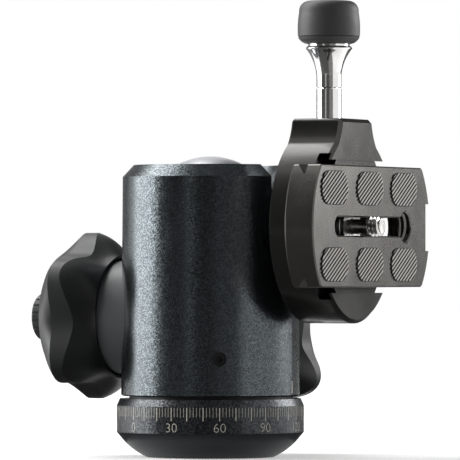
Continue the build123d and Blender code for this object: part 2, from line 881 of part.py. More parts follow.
def clamp_grip():
    """Rubber cap pressed over the end of the spindle."""
    seam = (grip_seam_r, grip_seam_height)
    swell = (between(cone_r, grip_seam_r, 0.62), grip_seam_height * 0.36)
    shoulder = (grip_shoulder_r, grip_shoulder_height)
    grip = turned(
        (0, 0), (cone_r, 0), (swell, seam), ((grip_r, grip_belly_height), shoulder),
        ((grip_corner_r, grip_corner_height), (grip_flat_r, grip_height)), (0, grip_height),
    )
    return STALK * Pos(0, 0, band_top) * (grip - rod(sleeve_r, -1, grip_core_height))


# Camera plate

def plate_outline():
    half, side = plate_length / 2, plate_width / 2
    corner = half - plate_end_bulge
    face = outline(
        (-corner, -side), (corner, -side), ((half, 0), (corner, side)), (-corner, side),
        ((-half, 0), (-corner, -side)),
    )
    return Pos(plate_centre_y, 0) * fillet(face.vertices(), plate_corner)


def pad_places():
    return [(y, side * pad_row_z) for side in (1, -1) for y in pad_columns_y]


def camera_plate():
    plate = Pos(0, 0, plate_back_x) * extrude(plate_outline(), plate_front_x - plate_back_x)
    plate = chamfer(plate.faces().sort_by(Axis.Z)[-1].outer_wire().edges(), plate_front_chamfer)
    plate = chamfer(plate.faces().sort_by(Axis.Z)[0].outer_wire().edges(), plate_back_chamfer)
    edge, floor = plate_width / 2, plate_width / 2 - groove_depth
    over = (edge + 2 - floor) / groove_depth
    groove = outline(
        (floor, groove_floor_low_x),
        (edge + 2, groove_floor_low_x - (groove_floor_low_x - groove_mouth_low_x) * over),
        (edge + 2, groove_floor_high_x + (groove_mouth_high_x - groove_floor_high_x) * over),
        (floor, groove_floor_high_x),
    )
    cut = extrude(Plane.YZ * groove, plate_length, both=True)
    plate -= cut
    plate -= Rot(0, 0, 180) * cut
    end_y = plate_centre_y + plate_length / 2
    plate -= block(
        (end_y - notch_depth, end_y + 1), (-notch_width / 2, notch_width / 2),
        (plate_back_x - 1, plate_front_x + 1),
    )
    recess = SlotOverall(recess_length, recess_width)
    plate -= Pos(0, 0, plate_back_x - 1) * extrude(recess, recess_roof_x - plate_back_x + 1)
    slot_length = plate_hole_y - slot_end_y
    slot = Pos(slot_end_y + slot_half_width) * Circle(slot_half_width)
    slot += Pos((plate_hole_y + slot_end_y + slot_half_width) / 2) * Rectangle(
        slot_length - slot_half_width, 2 * slot_half_width)
    slot += Pos(plate_hole_y) * Circle(plate_hole_r)
    plate -= Pos(0, 0, plate_back_x) * extrude(slot, clamp_front_x)
    mouth = plate.faces().sort_by(Axis.Z)[-1].inner_wires()
    plate = chamfer(mouth[0].edges(), slot_chamfer)
    pocket = SlotOverall(pad_length, pad_width)
    for y, z in pad_places():
        plate -= Pos(y, z, plate_front_x - pad_depth) * extrude(pocket, pad_depth + 1)
    return CLAMP * plate


def grip_pad():
    """Rubber pad with slanting ribs, seated in its pocket."""
    pad = extrude(SlotOverall(pad_length, pad_width), pad_depth)
    count = int(pad_length / rib_pitch) + 2
    bar = Rectangle(2 * pad_length, rib_width)
    ribs = Sketch() + [
        Rot(0, 0, rib_angle) * Pos(0, (i - count / 2) * rib_pitch) * bar
        for i in range(count + 1)
    ]
    ribs &= SlotOverall(pad_length - 0.4, pad_width - 0.4)
    return pad + Pos(0, 0, pad_depth) * extrude(ribs, rib_height)


def camera_screw():
    neck_x = camera_head_x + camera_head_thickness
    screw = turned(
        (0, camera_head_x), (camera_head_r - camera_head_edge, camera_head_x),
        (camera_head_r, camera_head_x + camera_head_edge), (camera_head_r, neck_x),
        (camera_neck_r, neck_x),
        (camera_neck_r, camera_thread_start_x), (camera_thread_r, camera_thread_start_x),
        (camera_thread_r, camera_thread_end_x - camera_thread_chamfer),
        (camera_thread_r - camera_thread_chamfer, camera_thread_end_x), (0, camera_thread_end_x),
    )
    reach = camera_head_r + 1
    half = coin_slot_width / 2
    screw -= block((-reach, reach), (-half, half),
                   (camera_head_x - 1, camera_head_x + coin_slot_depth))
    return CLAMP * (Pos(camera_screw_y, 0, 0) * screw)


def slot_washer():
    low = camera_head_x + camera_head_thickness + face_gap
    ring = tube(camera_head_r, camera_neck_r + running_gap, low, low + camera_washer_thickness)
    return CLAMP * (Pos(camera_screw_y, 0, 0) * ring)


def save(name, shape):
    """Write one piece, or a group of like pieces, under its own name."""
    export_step(Compound(shape) if isinstance(shape, list) else shape, f"parts/{name}.step")


os.makedirs("parts", exist_ok=True)

for make in (
    base_plate, thread_insert, scale_ring, pan_spindle, glide_ring,
    housing, upper_seat_ring, snap_ring, support_disc, set_screws, main_bush, knob_collar,
    thrust_washer, pan_bush, ball_cup, lock_wedge, main_shaft, shaft_clip, main_knob,
    friction_dial, pan_shoe, pan_shaft, pan_knob, ball, stem, clamp_body, fixed_jaw, jaw_pins,
    clamp_screw, locating_pins, stalk_sleeve, sliding_jaw, clamp_spindle, spindle_clip,
    clamp_grip, camera_plate, slot_washer, camera_screw,
):
    save(make.__name__, make())

save("base_screws", around(base_screw_count, base_screw_circle_r, base_screw()))
pad = grip_pad()
for number, (y, z) in enumerate(pad_places(), 1):
    save(f"grip_pad_{number}", CLAMP * (Pos(y, z, plate_front_x - pad_depth) * pad))
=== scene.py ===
from math import atan2, cos, hypot, pi, radians, sin

import bpy
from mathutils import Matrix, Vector


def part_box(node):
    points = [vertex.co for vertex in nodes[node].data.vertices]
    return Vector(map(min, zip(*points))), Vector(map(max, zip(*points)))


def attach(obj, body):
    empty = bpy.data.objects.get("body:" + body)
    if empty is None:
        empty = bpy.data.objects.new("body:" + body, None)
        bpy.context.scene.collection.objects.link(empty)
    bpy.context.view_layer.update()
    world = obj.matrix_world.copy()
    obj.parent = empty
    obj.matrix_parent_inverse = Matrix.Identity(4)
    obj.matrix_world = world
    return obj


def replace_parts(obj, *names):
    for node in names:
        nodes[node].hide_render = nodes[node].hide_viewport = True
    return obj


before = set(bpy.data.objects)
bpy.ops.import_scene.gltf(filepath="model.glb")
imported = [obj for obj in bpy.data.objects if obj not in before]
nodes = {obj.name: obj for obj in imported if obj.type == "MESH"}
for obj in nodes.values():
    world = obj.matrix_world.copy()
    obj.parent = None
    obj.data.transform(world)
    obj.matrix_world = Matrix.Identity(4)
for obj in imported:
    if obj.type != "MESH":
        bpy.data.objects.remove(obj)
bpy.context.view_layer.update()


# Foot. The turned aluminium foot has a smooth satin black coat, and a steel insert with the tripod
# thread is pressed into it. Four countersunk screws tie it to the spindle above. Its finish sets
# the pattern for the others: a fine grain in the bump and blotches of handling in the roughness.
MM = 0.001


def add(tree, kind, **settings):
    """A shader node, with its input sockets or its own settings filled in by name."""
    node = tree.nodes.new(kind)
    for key, value in settings.items():
        if key in node.inputs:
            node.inputs[key].default_value = value
        else:
            setattr(node, key, value)
    return node


def effect_group(name, inputs, outputs):
    """An empty node group with its sockets, and its two end nodes."""
    group = bpy.data.node_groups.new(name, "ShaderNodeTree")
    for label, kind, value in inputs:
        socket = group.interface.new_socket(label, in_out="INPUT", socket_type=kind)
        socket.default_value = value
    for label, kind in outputs:
        group.interface.new_socket(label, in_out="OUTPUT", socket_type=kind)
    start = group.nodes.new("NodeGroupInput")
    end = group.nodes.new("NodeGroupOutput")
    return group, start, end


def math_node(tree, operation, first, second):
    """The result of one operation on two values, each a number or a socket."""
    node = tree.nodes.new("ShaderNodeMath")
    node.operation = operation
    for i, source in enumerate((first, second)):
        if isinstance(source, (int, float)):
            node.inputs[i].default_value = source
        else:
            tree.links.new(source, node.inputs[i])
    return node.outputs[0]


def grain_group():
    """Fine grain such as blasting or moulding leaves: its height, and its mask for the tone."""
    group, start, end = effect_group(
        "grain",
        [("Scale", "NodeSocketFloat", 3000.0), ("Depth", "NodeSocketFloat", 0.3)],
        [("Height", "NodeSocketFloat"), ("Mask", "NodeSocketFloat")],
    )
    link = group.links.new
    place = add(group, "ShaderNodeTexCoord")
    noise = add(group, "ShaderNodeTexNoise", Detail=3.0, Roughness=0.6)
    link(place.outputs["Object"], noise.inputs["Vector"])
    link(start.outputs["Scale"], noise.inputs["Scale"])
    depth = math_node(group, "MULTIPLY", noise.outputs["Fac"], start.outputs["Depth"])
    link(depth, end.inputs["Height"])
    link(noise.outputs["Fac"], end.inputs["Mask"])
    return group


def handling_group():
    """Faint blotches and fingerprints: a roughness between two values."""
    group, start, end = effect_group(
        "handling",
        [
            ("Scale", "NodeSocketFloat", 90.0),
            ("Low", "NodeSocketFloat", 0.4),
            ("High", "NodeSocketFloat", 0.5),
        ],
        [("Value", "NodeSocketFloat")],
    )
    link = group.links.new
    place = add(group, "ShaderNodeTexCoord")
    noise = add(group, "ShaderNodeTexNoise", Detail=4.0, Roughness=0.55)
    link(place.outputs["Object"], noise.inputs["Vector"])
    link(start.outputs["Scale"], noise.inputs["Scale"])
    spread = add(group, "ShaderNodeMapRange", **{"From Min": 0.3, "From Max": 0.7})
    link(noise.outputs["Fac"], spread.inputs["Value"])
    link(start.outputs["Low"], spread.inputs["To Min"])
    link(start.outputs["High"], spread.inputs["To Max"])
    link(spread.outputs["Result"], end.inputs["Value"])
    return group


GRAIN = grain_group()
HANDLING = handling_group()
GRAIN_HEIGHT = 0.05 * MM


def place_group(tree, group, **values):
    """A node that stands for a group in a material, with its inputs filled in."""
    node = tree.nodes.new("ShaderNodeGroup")
    node.node_tree = group
    for key, value in values.items():
        node.inputs[key].default_value = value
    return node


def new_material(name, **sockets):
    """A material, its nodes and its main shader, with that shader's constants filled in."""
    material = bpy.data.materials.new(name)
    material.use_nodes = True
    tree = material.node_tree
    shader = tree.nodes["Principled BSDF"]
    for key, value in sockets.items():
        shader.inputs[key.replace("_", " ")].default_value = value
    return material, tree, shader


def add_handling(tree, shader, handling):
    """Let the roughness wander, by handling as (scale, least, most roughness)."""
    scale, least, most = handling
    touch = place_group(tree, HANDLING, Scale=scale, Low=least, High=most)
    tree.links.new(touch.outputs["Value"], shader.inputs["Roughness"])


def finish(name, color, grain, handling, metallic=0.0, tone=0.12, bump=0.4, **sockets):
    """A skin whose colour varies by tone, with grain as (scale, depth) in its bump."""
    material, tree, shader = new_material(name, Metallic=metallic, **sockets)
    add_handling(tree, shader, handling)
    mix = add(tree, "ShaderNodeMix", data_type="RGBA")
    mix.inputs["A"].default_value = (*(c * (1 - tone) for c in color), 1)
    mix.inputs["B"].default_value = (*(min(1.0, c * (1 + tone)) for c in color), 1)
    speck = place_group(tree, GRAIN, Scale=grain[0], Depth=grain[1])
    tree.links.new(speck.outputs["Mask"], mix.inputs["Factor"])
    tree.links.new(mix.outputs["Result"], shader.inputs["Base Color"])
    relief = add(tree, "ShaderNodeBump", Strength=bump, Distance=GRAIN_HEIGHT)
    tree.links.new(speck.outputs["Height"], relief.inputs["Height"])
    tree.links.new(relief.outputs["Normal"], shader.inputs["Normal"])
    return material


def coat(material, *names):
    """Give CAD nodes their finish."""
    for name in names:
        slots = nodes[name].data.materials
        slots.clear()
        slots.append(material)


foot_coat = finish("foot_coat", (0.020, 0.023, 0.026), metallic=0.55, grain=(2600.0, 0.25),
                   handling=(60.0, 0.34, 0.42), tone=0.1, bump=0.25)
coat(foot_coat, "base_plate")
turned_steel = finish("turned_steel", (0.60, 0.59, 0.57), metallic=1.0, grain=(1500.0, 0.1),
                      handling=(150.0, 0.2, 0.32), tone=0.08)
coat(turned_steel, "thread_insert", "base_screws", "main_shaft", "pan_shaft")


# Threads and turned pieces. Fine threads are turned or tapped, and run as one unbroken ridge. A
# lathe row is (place along the axis, radius), and the radius may follow the turn for a helix.
SHARP_EDGE = radians(32)


def new_piece(name, points, faces, body, material, smooth=True):
    """A new mesh in millimetres that rides on a body."""
    mesh = bpy.data.meshes.new(name)
    mesh.from_pydata([Vector(p) * MM for p in points], [], faces)
    mesh.validate()
    if smooth:
        mesh.shade_smooth()
        mesh.set_sharp_from_angle(angle=SHARP_EDGE)
    obj = bpy.data.objects.new(name, mesh)
    bpy.context.scene.collection.objects.link(obj)
    mesh.materials.append(material)
    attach(obj, body)
    return obj


def lathe(rows, origin, axis, across, sides=96):
    """Points and faces of a solid whose rows are turned about an axis, with flat ends."""
    axis, across = Vector(axis), Vector(across)
    third = axis.cross(across)
    points, faces = [], []
    for place, radius in rows:
        for i in range(sides):
            turn = 2 * pi * i / sides
            r = radius(i / sides) if callable(radius) else radius
            out = across * cos(turn) + third * sin(turn)
            points.append(Vector(origin) + axis * place + out * r)
    for j in range(len(rows) - 1):
        near, far = j * sides, (j + 1) * sides
        for i in range(sides):
            k = (i + 1) % sides
            faces.append([near + i, near + k, far + k, far + i])
    faces.append(list(reversed(range(sides))))
    faces.append([(len(rows) - 1) * sides + i for i in range(sides)])
    return points, faces


def thread_rows(first, last, pitch, root_r, crest_r, tip_r):
    """Lathe rows of a rolled thread that runs out at its start and tapers at its tip."""
    steps_per_turn = 10
    run_out = pitch * 0.5
    crest_level, flank_slope = 1.25, 4
    count = round((last - first) / pitch * steps_per_turn)

    def profile(place):
        rise = min(1.0, (place - first) / run_out)
        taper = min(1.0, (last - place) / run_out)

        def radius(share):
            phase = (place / pitch - share) % 1.0
            ridge = max(0.0, min(1.0, crest_level - abs(phase - 0.5) * flank_slope))
            top = tip_r + (crest_r - tip_r) * taper
            return min(top, root_r + (crest_r - root_r) * ridge * rise)

        return radius

    places = [first + (last - first) * i / count for i in range(count + 1)]
    return [(place, profile(place)) for place in places]


def tapped_thread(name, origin, axis, across, length, pitch, wall_r, crest_r, body,
                  material):
    """Helical ridge on the wall of a bore, from its mouth to its depth, with run-outs."""
    sides = 48
    run_out_steps = sides / 3
    least_height = 0.05
    foot_half, crest_half = 0.42, 0.08
    axis, across = Vector(axis), Vector(across)
    third = axis.cross(across)
    steps = int((length - pitch) / pitch * sides)
    points, faces = [], []
    for i in range(steps + 1):
        turn = 2 * pi * i / sides
        along = pitch * (0.5 + i / sides)
        height = max(least_height, min(1.0, i / run_out_steps, (steps - i) / run_out_steps))
        crest = wall_r - (wall_r - crest_r) * height
        out = across * cos(turn) + third * sin(turn)
        for shift, radius in ((-foot_half, wall_r), (-crest_half, crest),
                              (crest_half, crest), (foot_half, wall_r)):
            points.append(Vector(origin) + axis * (along + shift * pitch) + out * radius)
    for i in range(steps):
        for j in range(4):
            k = (j + 1) % 4
            faces.append([4 * i + j, 4 * i + k, 4 * i + 4 + k, 4 * i + 4 + j])
    faces += [[3, 2, 1, 0], [4 * steps + j for j in range(4)]]
    return new_piece(name, points, faces, body, material)


TRIPOD_PITCH = 25.4 / 16
TAP_WALL_R, TAP_CREST_R = 4.74, 4.15
INSERT_THREAD_LENGTH = 11.0
tapped_thread("insert_thread", (0, 0, 0), (0, 0, 1), (1, 0, 0), INSERT_THREAD_LENGTH,
              TRIPOD_PITCH, TAP_WALL_R, TAP_CREST_R, "base", turned_steel)


# Scale ring. A painted ring on the foot with a full circle of degree marks; the marks and plain
# numbers are printed in a pale beige ink just under the chamfer.
def flake_group():
    """Glints of metal flakes under a clear coat: their colour and lean."""
    group, start, end = effect_group(
        "flakes",
        [
            ("Scale", "NodeSocketFloat", 2600.0),
            ("Share", "NodeSocketFloat", 0.3),
            ("Tilt", "NodeSocketFloat", 0.25),
            ("Base", "NodeSocketColor", (0.1, 0.1, 0.1, 1)),
            ("Flake", "NodeSocketColor", (0.5, 0.5, 0.5, 1)),
        ],
        [("Color", "NodeSocketColor"), ("Normal", "NodeSocketVector")],
    )
    link = group.links.new
    place = add(group, "ShaderNodeTexCoord")
    cells = add(group, "ShaderNodeTexVoronoi")
    link(place.outputs["Object"], cells.inputs["Vector"])
    link(start.outputs["Scale"], cells.inputs["Scale"])
    split = add(group, "ShaderNodeSeparateColor")
    link(cells.outputs["Color"], split.inputs["Color"])
    shown = math_node(group, "LESS_THAN", split.outputs["Red"], start.outputs["Share"])
    mix = add(group, "ShaderNodeMix", data_type="RGBA")
    link(shown, mix.inputs["Factor"])
    link(start.outputs["Base"], mix.inputs["A"])
    link(start.outputs["Flake"], mix.inputs["B"])
    lean = add(group, "ShaderNodeVectorMath", operation="SUBTRACT")
    link(cells.outputs["Color"], lean.inputs[0])
    lean.inputs[1].default_value = (0.5, 0.5, 0.5)
    scaled = add(group, "ShaderNodeVectorMath", operation="SCALE")
    link(lean.outputs["Vector"], scaled.inputs["Vector"])
    link(start.outputs["Tilt"], scaled.inputs["Scale"])
    skin = add(group, "ShaderNodeNewGeometry")
    tilted = add(group, "ShaderNodeVectorMath", operation="ADD")
    link(skin.outputs["Normal"], tilted.inputs[0])
    link(scaled.outputs["Vector"], tilted.inputs[1])
    unit = add(group, "ShaderNodeVectorMath", operation="NORMALIZE")
    link(tilted.outputs["Vector"], unit.inputs["Vector"])
    link(mix.outputs["Result"], end.inputs["Color"])
    link(unit.outputs["Vector"], end.inputs["Normal"])
    return group


FLAKES = flake_group()
FLAKE_SHARE, FLAKE_TILT = 0.4, 0.08


def flake_paint(name, base, flake, scale, handling, metallic):
    """Metallic paint: glinting flakes of many leans in a dark coat."""
    material, tree, shader = new_material(name, Metallic=metallic)
    flakes = place_group(tree, FLAKES, Scale=scale, Share=FLAKE_SHARE, Tilt=FLAKE_TILT,
                         Base=(*base, 1), Flake=(*flake, 1))
    tree.links.new(flakes.outputs["Color"], shader.inputs["Base Color"])
    tree.links.new(flakes.outputs["Normal"], shader.inputs["Normal"])
    add_handling(tree, shader, handling)
    return material


coat(
    flake_paint("ring_paint", (0.034, 0.037, 0.040), (0.09, 0.096, 0.102), scale=3400.0,
                handling=(160.0, 0.26, 0.34), metallic=0.9),
    "scale_ring",
)
ink = finish("scale_ink", (0.56, 0.53, 0.46), grain=(1800.0, 0.2), handling=(200.0, 0.55, 0.7),
             tone=0.15)
ring_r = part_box("scale_ring")[1].x / MM
INK_RAISE = 0.03
MARK_TOP_Z = 16.3
MAJOR_LENGTH, MINOR_LENGTH = 4.2, 3.0
MAJOR_WIDTH, MINOR_WIDTH = 0.27, 0.12
MINOR_STEP, MAJOR_STEP, NUMBER_STEP = 2, 10, 30
DIGIT_HEIGHT, DIGIT_BASE_Z = 2.95, 8.5
DIGIT_CURVE_STEPS, DIGIT_THINNING = 3, -0.022
FONT_CAP_SHARE = 0.69
INDEX_NUMBER = 120


def wrap(angle, along, z, lift=INK_RAISE):
    """Point on the ring: along is the distance round the rim from a direction in degrees."""
    turn = radians(angle) + along / ring_r
    radius = ring_r + lift
    return (radius * cos(turn), radius * sin(turn), z)


def raised_bar(outline, to_point):
    """Points and faces of a thin printed bar, from its outline and the surface it lies on."""
    points = [to_point(x, z, lift) for lift in (0.0, INK_RAISE) for x, z in outline]
    faces = [[4, 5, 6, 7], [3, 2, 1, 0]]
    for i in range(4):
        k = (i + 1) % 4
        faces.append([i, k, 4 + k, 4 + i])
    return points, faces


points, faces = [], []
for angle in range(0, 360, MINOR_STEP):
    major = angle % MAJOR_STEP == 0
    half = (MAJOR_WIDTH if major else MINOR_WIDTH) / 2
    low = MARK_TOP_Z - (MAJOR_LENGTH if major else MINOR_LENGTH)
    corners, loops = raised_bar(
        ((-half, low), (half, low), (half, MARK_TOP_Z), (-half, MARK_TOP_Z)),
        lambda x, z, lift: wrap(angle, x, z, lift),
    )
    faces += [[len(points) + i for i in loop] for loop in loops]
    points += corners
new_piece("scale_marks", points, faces, "base", ink, smooth=False)


def flat_text(label):
    """Outline of a plain number as a flat mesh, about one unit high."""
    curve = bpy.data.curves.new("number", "FONT")
    curve.body = label
    curve.align_x = "CENTER"
    curve.resolution_u = DIGIT_CURVE_STEPS
    curve.offset = DIGIT_THINNING
    obj = bpy.data.objects.new("number", curve)
    mesh = bpy.data.meshes.new_from_object(obj)
    found = [tuple(v.co) for v in mesh.vertices], [list(p.vertices) for p in mesh.polygons]
    bpy.data.objects.remove(obj)
    bpy.data.meshes.remove(mesh)
    bpy.data.curves.remove(curve)
    return found


points, faces = [], []
for angle in range(0, 360, NUMBER_STEP):
    corners, loops = flat_text(str((INDEX_NUMBER + angle) % 360))
    scale = DIGIT_HEIGHT / FONT_CAP_SHARE
    faces += [[len(points) + i for i in loop] for loop in loops]
    points += [wrap(angle, x * scale, DIGIT_BASE_Z + y * scale) for x, y, _ in corners]
new_piece("scale_numbers", points, faces, "base", ink, smooth=False)


# Panorama base. The spindle stands in the foot, and a black plastic glide ring under the housing
# fills the gap that shows above the scale.
machined = finish("machined_aluminium", (0.66, 0.66, 0.67), metallic=1.0, grain=(2200.0, 0.15),
                  handling=(150.0, 0.25, 0.38))
coat(machined, "pan_spindle", "support_disc")
coat(
    finish("glide_plastic", (0.016, 0.017, 0.018), grain=(2000.0, 0.2),
           handling=(120.0, 0.45, 0.55)),
    "glide_ring",
)


# Housing. A cast body in metallic dark blue-grey paint, open at the top for the ball and at one
# side for the stem. A short pale index line above the scale is printed on it, and three sunk
# screws hold it on the spindle.
coat(
    flake_paint("housing_paint", (0.053, 0.0605, 0.065), (0.118, 0.135, 0.143), scale=3800.0,
                handling=(120.0, 0.20, 0.27), metallic=0.94),
    "housing",
)
body_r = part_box("housing")[1].y / MM
INDEX_LOW_Z, INDEX_TOP_Z, INDEX_HALF_WIDTH = 20.6, 24.4, 0.22


def on_body(along, z, lift):
    """Point on the housing, at a distance round it from the side of the stem."""
    turn, radius = along / body_r, body_r + lift
    return (radius * cos(turn), radius * sin(turn), z)


points, faces = raised_bar(
    ((-INDEX_HALF_WIDTH, INDEX_LOW_Z), (INDEX_HALF_WIDTH, INDEX_LOW_Z),
     (INDEX_HALF_WIDTH, INDEX_TOP_Z), (-INDEX_HALF_WIDTH, INDEX_TOP_Z)),
    on_body,
)
new_piece("index_line", points, faces, "housing", ink, smooth=False)
black_steel = finish("black_steel", (0.03, 0.03, 0.033), metallic=0.6, grain=(3000.0, 0.2),
                     handling=(200.0, 0.35, 0.5))
coat(black_steel, "set_screws")


# Inside parts. The seat ring and cup that grip the ball are of pale bearing plastic, the bushes,
# wedge and brake shoe of brass, and the clips and pins of oiled spring steel.
bearing_plastic = finish("bearing_plastic", (0.62, 0.61, 0.57), grain=(900.0, 0.2),
                         handling=(120.0, 0.4, 0.5), Subsurface_Weight=0.05)
coat(bearing_plastic, "upper_seat_ring", "ball_cup", "thrust_washer")
coat(
    finish("brass", (0.72, 0.52, 0.22), metallic=1.0, grain=(1500.0, 0.1),
           handling=(150.0, 0.25, 0.38)),
    "main_bush", "pan_bush", "lock_wedge", "pan_shoe",
)
coat(
    finish("oiled_steel", (0.3, 0.3, 0.31), metallic=1.0, grain=(1500.0, 0.1),
           handling=(150.0, 0.25, 0.4)),
    "snap_ring", "shaft_clip", "spindle_clip", "jaw_pins", "locating_pins",
)


# Ball and stem. The ball is turned from aluminium and hard anodised to an even light grey satin;
# the stem is turned from the same bar and anodised black.
coat(
    finish("ball_satin", (0.42, 0.43, 0.45), metallic=0.75, grain=(3200.0, 0.2),
           handling=(70.0, 0.30, 0.38), tone=0.06, bump=0.3),
    "ball",
)
coat(
    finish("stem_black", (0.035, 0.037, 0.040), metallic=0.5, grain=(2600.0, 0.2),
           handling=(90.0, 0.34, 0.42)),
    "stem",
)


# Ball lock. A smooth fixed collar on the housing, and over it the moulded soft-touch knob with
# five lobes and the small notched friction dial. The panorama lock's knob is of the same plastic.
coat(
    finish("collar_plastic", (0.060, 0.063, 0.066), grain=(2400.0, 0.25),
           handling=(80.0, 0.40, 0.48), tone=0.1),
    "knob_collar",
)
knob_plastic = finish("knob_plastic", (0.0055, 0.0062, 0.007), grain=(2800.0, 0.3),
                      handling=(70.0, 0.42, 0.50), tone=0.12, bump=0.35)
coat(knob_plastic, "main_knob", "pan_knob")
coat(
    finish("dial_plastic", (0.022, 0.023, 0.025), grain=(2400.0, 0.25),
           handling=(80.0, 0.36, 0.44), tone=0.1),
    "friction_dial",
)


# Clamp. Machined and anodised in satin black; the jaws are of the same bar stock, and a black
# screw holds the body on the stem.
clamp_black = finish("clamp_black", (0.062, 0.0605, 0.058), metallic=0.92, grain=(3400.0, 0.25),
                     handling=(80.0, 0.19, 0.25), tone=0.1, bump=0.2)
coat(clamp_black, "clamp_body", "fixed_jaw", "sliding_jaw")
coat(black_steel, "clamp_screw")


# Clamp knob. A plated steel stalk and a turned spindle whose flare ends in a bead and a narrow
# neck, under a moulded rubber grip with a fine mould line. Heights are from the stem's line.
plated = finish("plated_steel", (0.80, 0.79, 0.78), metallic=1.0, grain=(900.0, 0.02),
                handling=(120.0, 0.10, 0.15), tone=0.02, bump=0.05)
coat(plated, "stalk_sleeve")
grip_rubber = finish("grip_rubber", (0.040, 0.040, 0.040), grain=(2600.0, 0.4),
                     handling=(90.0, 0.48, 0.6), tone=0.12, bump=0.5)


def arc_rows(start, middle, end, steps):
    """Lathe rows along the arc through three rows."""
    (x0, y0), (x1, y1), (x2, y2) = start, middle, end
    d = 2 * (x0 * (y1 - y2) + x1 * (y2 - y0) + x2 * (y0 - y1))
    s0, s1, s2 = x0 * x0 + y0 * y0, x1 * x1 + y1 * y1, x2 * x2 + y2 * y2
    cx = (s0 * (y1 - y2) + s1 * (y2 - y0) + s2 * (y0 - y1)) / d
    cy = (s0 * (x2 - x1) + s1 * (x0 - x2) + s2 * (x1 - x0)) / d
    first, last = atan2(y0 - cy, x0 - cx), atan2(y2 - cy, x2 - cx)
    sweep = (last - first + pi) % (2 * pi) - pi
    r = hypot(x0 - cx, y0 - cy)
    angles = [first + sweep * i / steps for i in range(steps + 1)]
    return [(cx + r * cos(angle), cy + r * sin(angle)) for angle in angles]


STALK_X, BALL_Z = 41.35, 73.55
stalk_foot = (STALK_X, 0, BALL_Z)
spindle_low, spindle_high = (corner.z / MM - BALL_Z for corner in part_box("clamp_spindle"))
GRIP_CORE_R, SCREW_R, SLEEVE_R = 3.95, 2.95, 3.98
SPINDLE_INSET, TURNED_BEVEL = 0.02, 0.4
SLEEVE_TOP, FLARE_FOOT = 44.1, 44.4
FLARE = (47.9, SLEEVE_R), (52.6, 5.05), (56.5, 7.35)
BEAD = [(56.7, 7.42), (57.25, 7.12), (57.35, 6.95)]
GRIP_NECK_R, NECK_LOW, NECK_TOP = 6.6, 57.35, 57.98
rows = [(spindle_low + SPINDLE_INSET, SCREW_R - TURNED_BEVEL),
        (spindle_low + TURNED_BEVEL, SCREW_R), (SLEEVE_TOP, SCREW_R),
        (SLEEVE_TOP, SLEEVE_R - TURNED_BEVEL), (FLARE_FOOT, SLEEVE_R)]
rows += arc_rows(*FLARE, steps=14) + BEAD
rows += [(NECK_LOW, GRIP_NECK_R), (NECK_TOP, GRIP_NECK_R), (NECK_TOP, GRIP_CORE_R),
         (spindle_high - SPINDLE_INSET, GRIP_CORE_R)]
points, faces = lathe(rows, stalk_foot, (0, 0, 1), (1, 0, 0))
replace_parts(new_piece("turned_spindle", points, faces, "clamp_knob", plated),
            "clamp_spindle")

GRIP_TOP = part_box("clamp_grip")[1].z / MM - BALL_Z - 0.01
GRIP_LOW, GRIP_BORE_R = 58.02, 4.0
LOWER_ROUND = (58.05, 6.75), (58.75, 8.6), (60.1, 9.72)
MOULD_LINE = [(60.25, 9.78), (60.4, 9.6), (60.6, 9.86)]
SHOULDER = (68.2, 9.48)
BULGE = (60.9, 9.87), (64.0, 9.91), SHOULDER
UPPER_ROUND = SHOULDER, (70.8, 8.6), (GRIP_TOP - 0.1, 6.9)
GRIP_FLAT_R = 6.2
rows = [(GRIP_LOW, GRIP_BORE_R), (GRIP_LOW, GRIP_NECK_R)]
rows += arc_rows(*LOWER_ROUND, steps=8) + MOULD_LINE
rows += arc_rows(*BULGE, steps=10)[1:] + arc_rows(*UPPER_ROUND, steps=10)[1:]
rows += [(GRIP_TOP, GRIP_FLAT_R)]
points, faces = lathe(rows, stalk_foot, (0, 0, 1), (1, 0, 0))
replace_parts(new_piece("moulded_grip", points, faces, "clamp_knob", grip_rubber),
            "clamp_grip")


# Camera plate. Bead blasted and anodised in a warm dark grey, with a tapped hole and six glued
# rubber pads whose slanting ribs are coloured lighter over their outer 0.2 mm than in the grooves.
plate_grey = finish("plate_grey", (0.118, 0.113, 0.104), metallic=0.9, grain=(3600.0, 0.4),
                    handling=(80.0, 0.22, 0.28), tone=0.08, bump=0.08)
coat(plate_grey, "camera_plate")
pad_rubber = finish("pad_rubber", (0.005, 0.0048, 0.0045), grain=(2600.0, 0.4),
                    handling=(120.0, 0.45, 0.58), tone=0.15, bump=0.5, Specular_IOR_Level=0.1)
# The pad colour turns lighter over the outermost 0.2 mm of the ribs, towards the pads' top in x,
# so the grooves stay darker.
RIB_TOP_COLOR = (0.42, 0.405, 0.38, 1)
LIGHT_TOP_DEPTH = 0.2 * MM
tree = pad_rubber.node_tree
pad_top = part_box("grip_pad_1")[1].x
place = add(tree, "ShaderNodeSeparateXYZ")
tree.links.new(add(tree, "ShaderNodeTexCoord").outputs["Object"], place.inputs["Vector"])
outer_mask = add(tree, "ShaderNodeMapRange", **{"From Min": pad_top - LIGHT_TOP_DEPTH, "From Max": pad_top})
tree.links.new(place.outputs["X"], outer_mask.inputs["Value"])
lighter_tops = add(tree, "ShaderNodeMix", data_type="RGBA")
lighter_tops.inputs["B"].default_value = RIB_TOP_COLOR
tree.links.new(outer_mask.outputs["Result"], lighter_tops.inputs["Factor"])
base_color = tree.nodes["Principled BSDF"].inputs["Base Color"]
tree.links.new(base_color.links[0].from_socket, lighter_tops.inputs["A"])
tree.links.new(lighter_tops.outputs["Result"], base_color)
coat(pad_rubber, *(f"grip_pad_{i}" for i in range(1, 7)))
PLATE_FRONT_X, PLATE_ROOF_X = 56.8, 51.5
PLATE_HOLE_Y = 26.3
tapped_thread("plate_thread", (PLATE_FRONT_X, PLATE_HOLE_Y, BALL_Z), (-1, 0, 0), (0, 1, 0),
              PLATE_FRONT_X - PLATE_ROOF_X, TRIPOD_PITCH, TAP_WALL_R, TAP_CREST_R,
              "camera_plate", plate_grey)


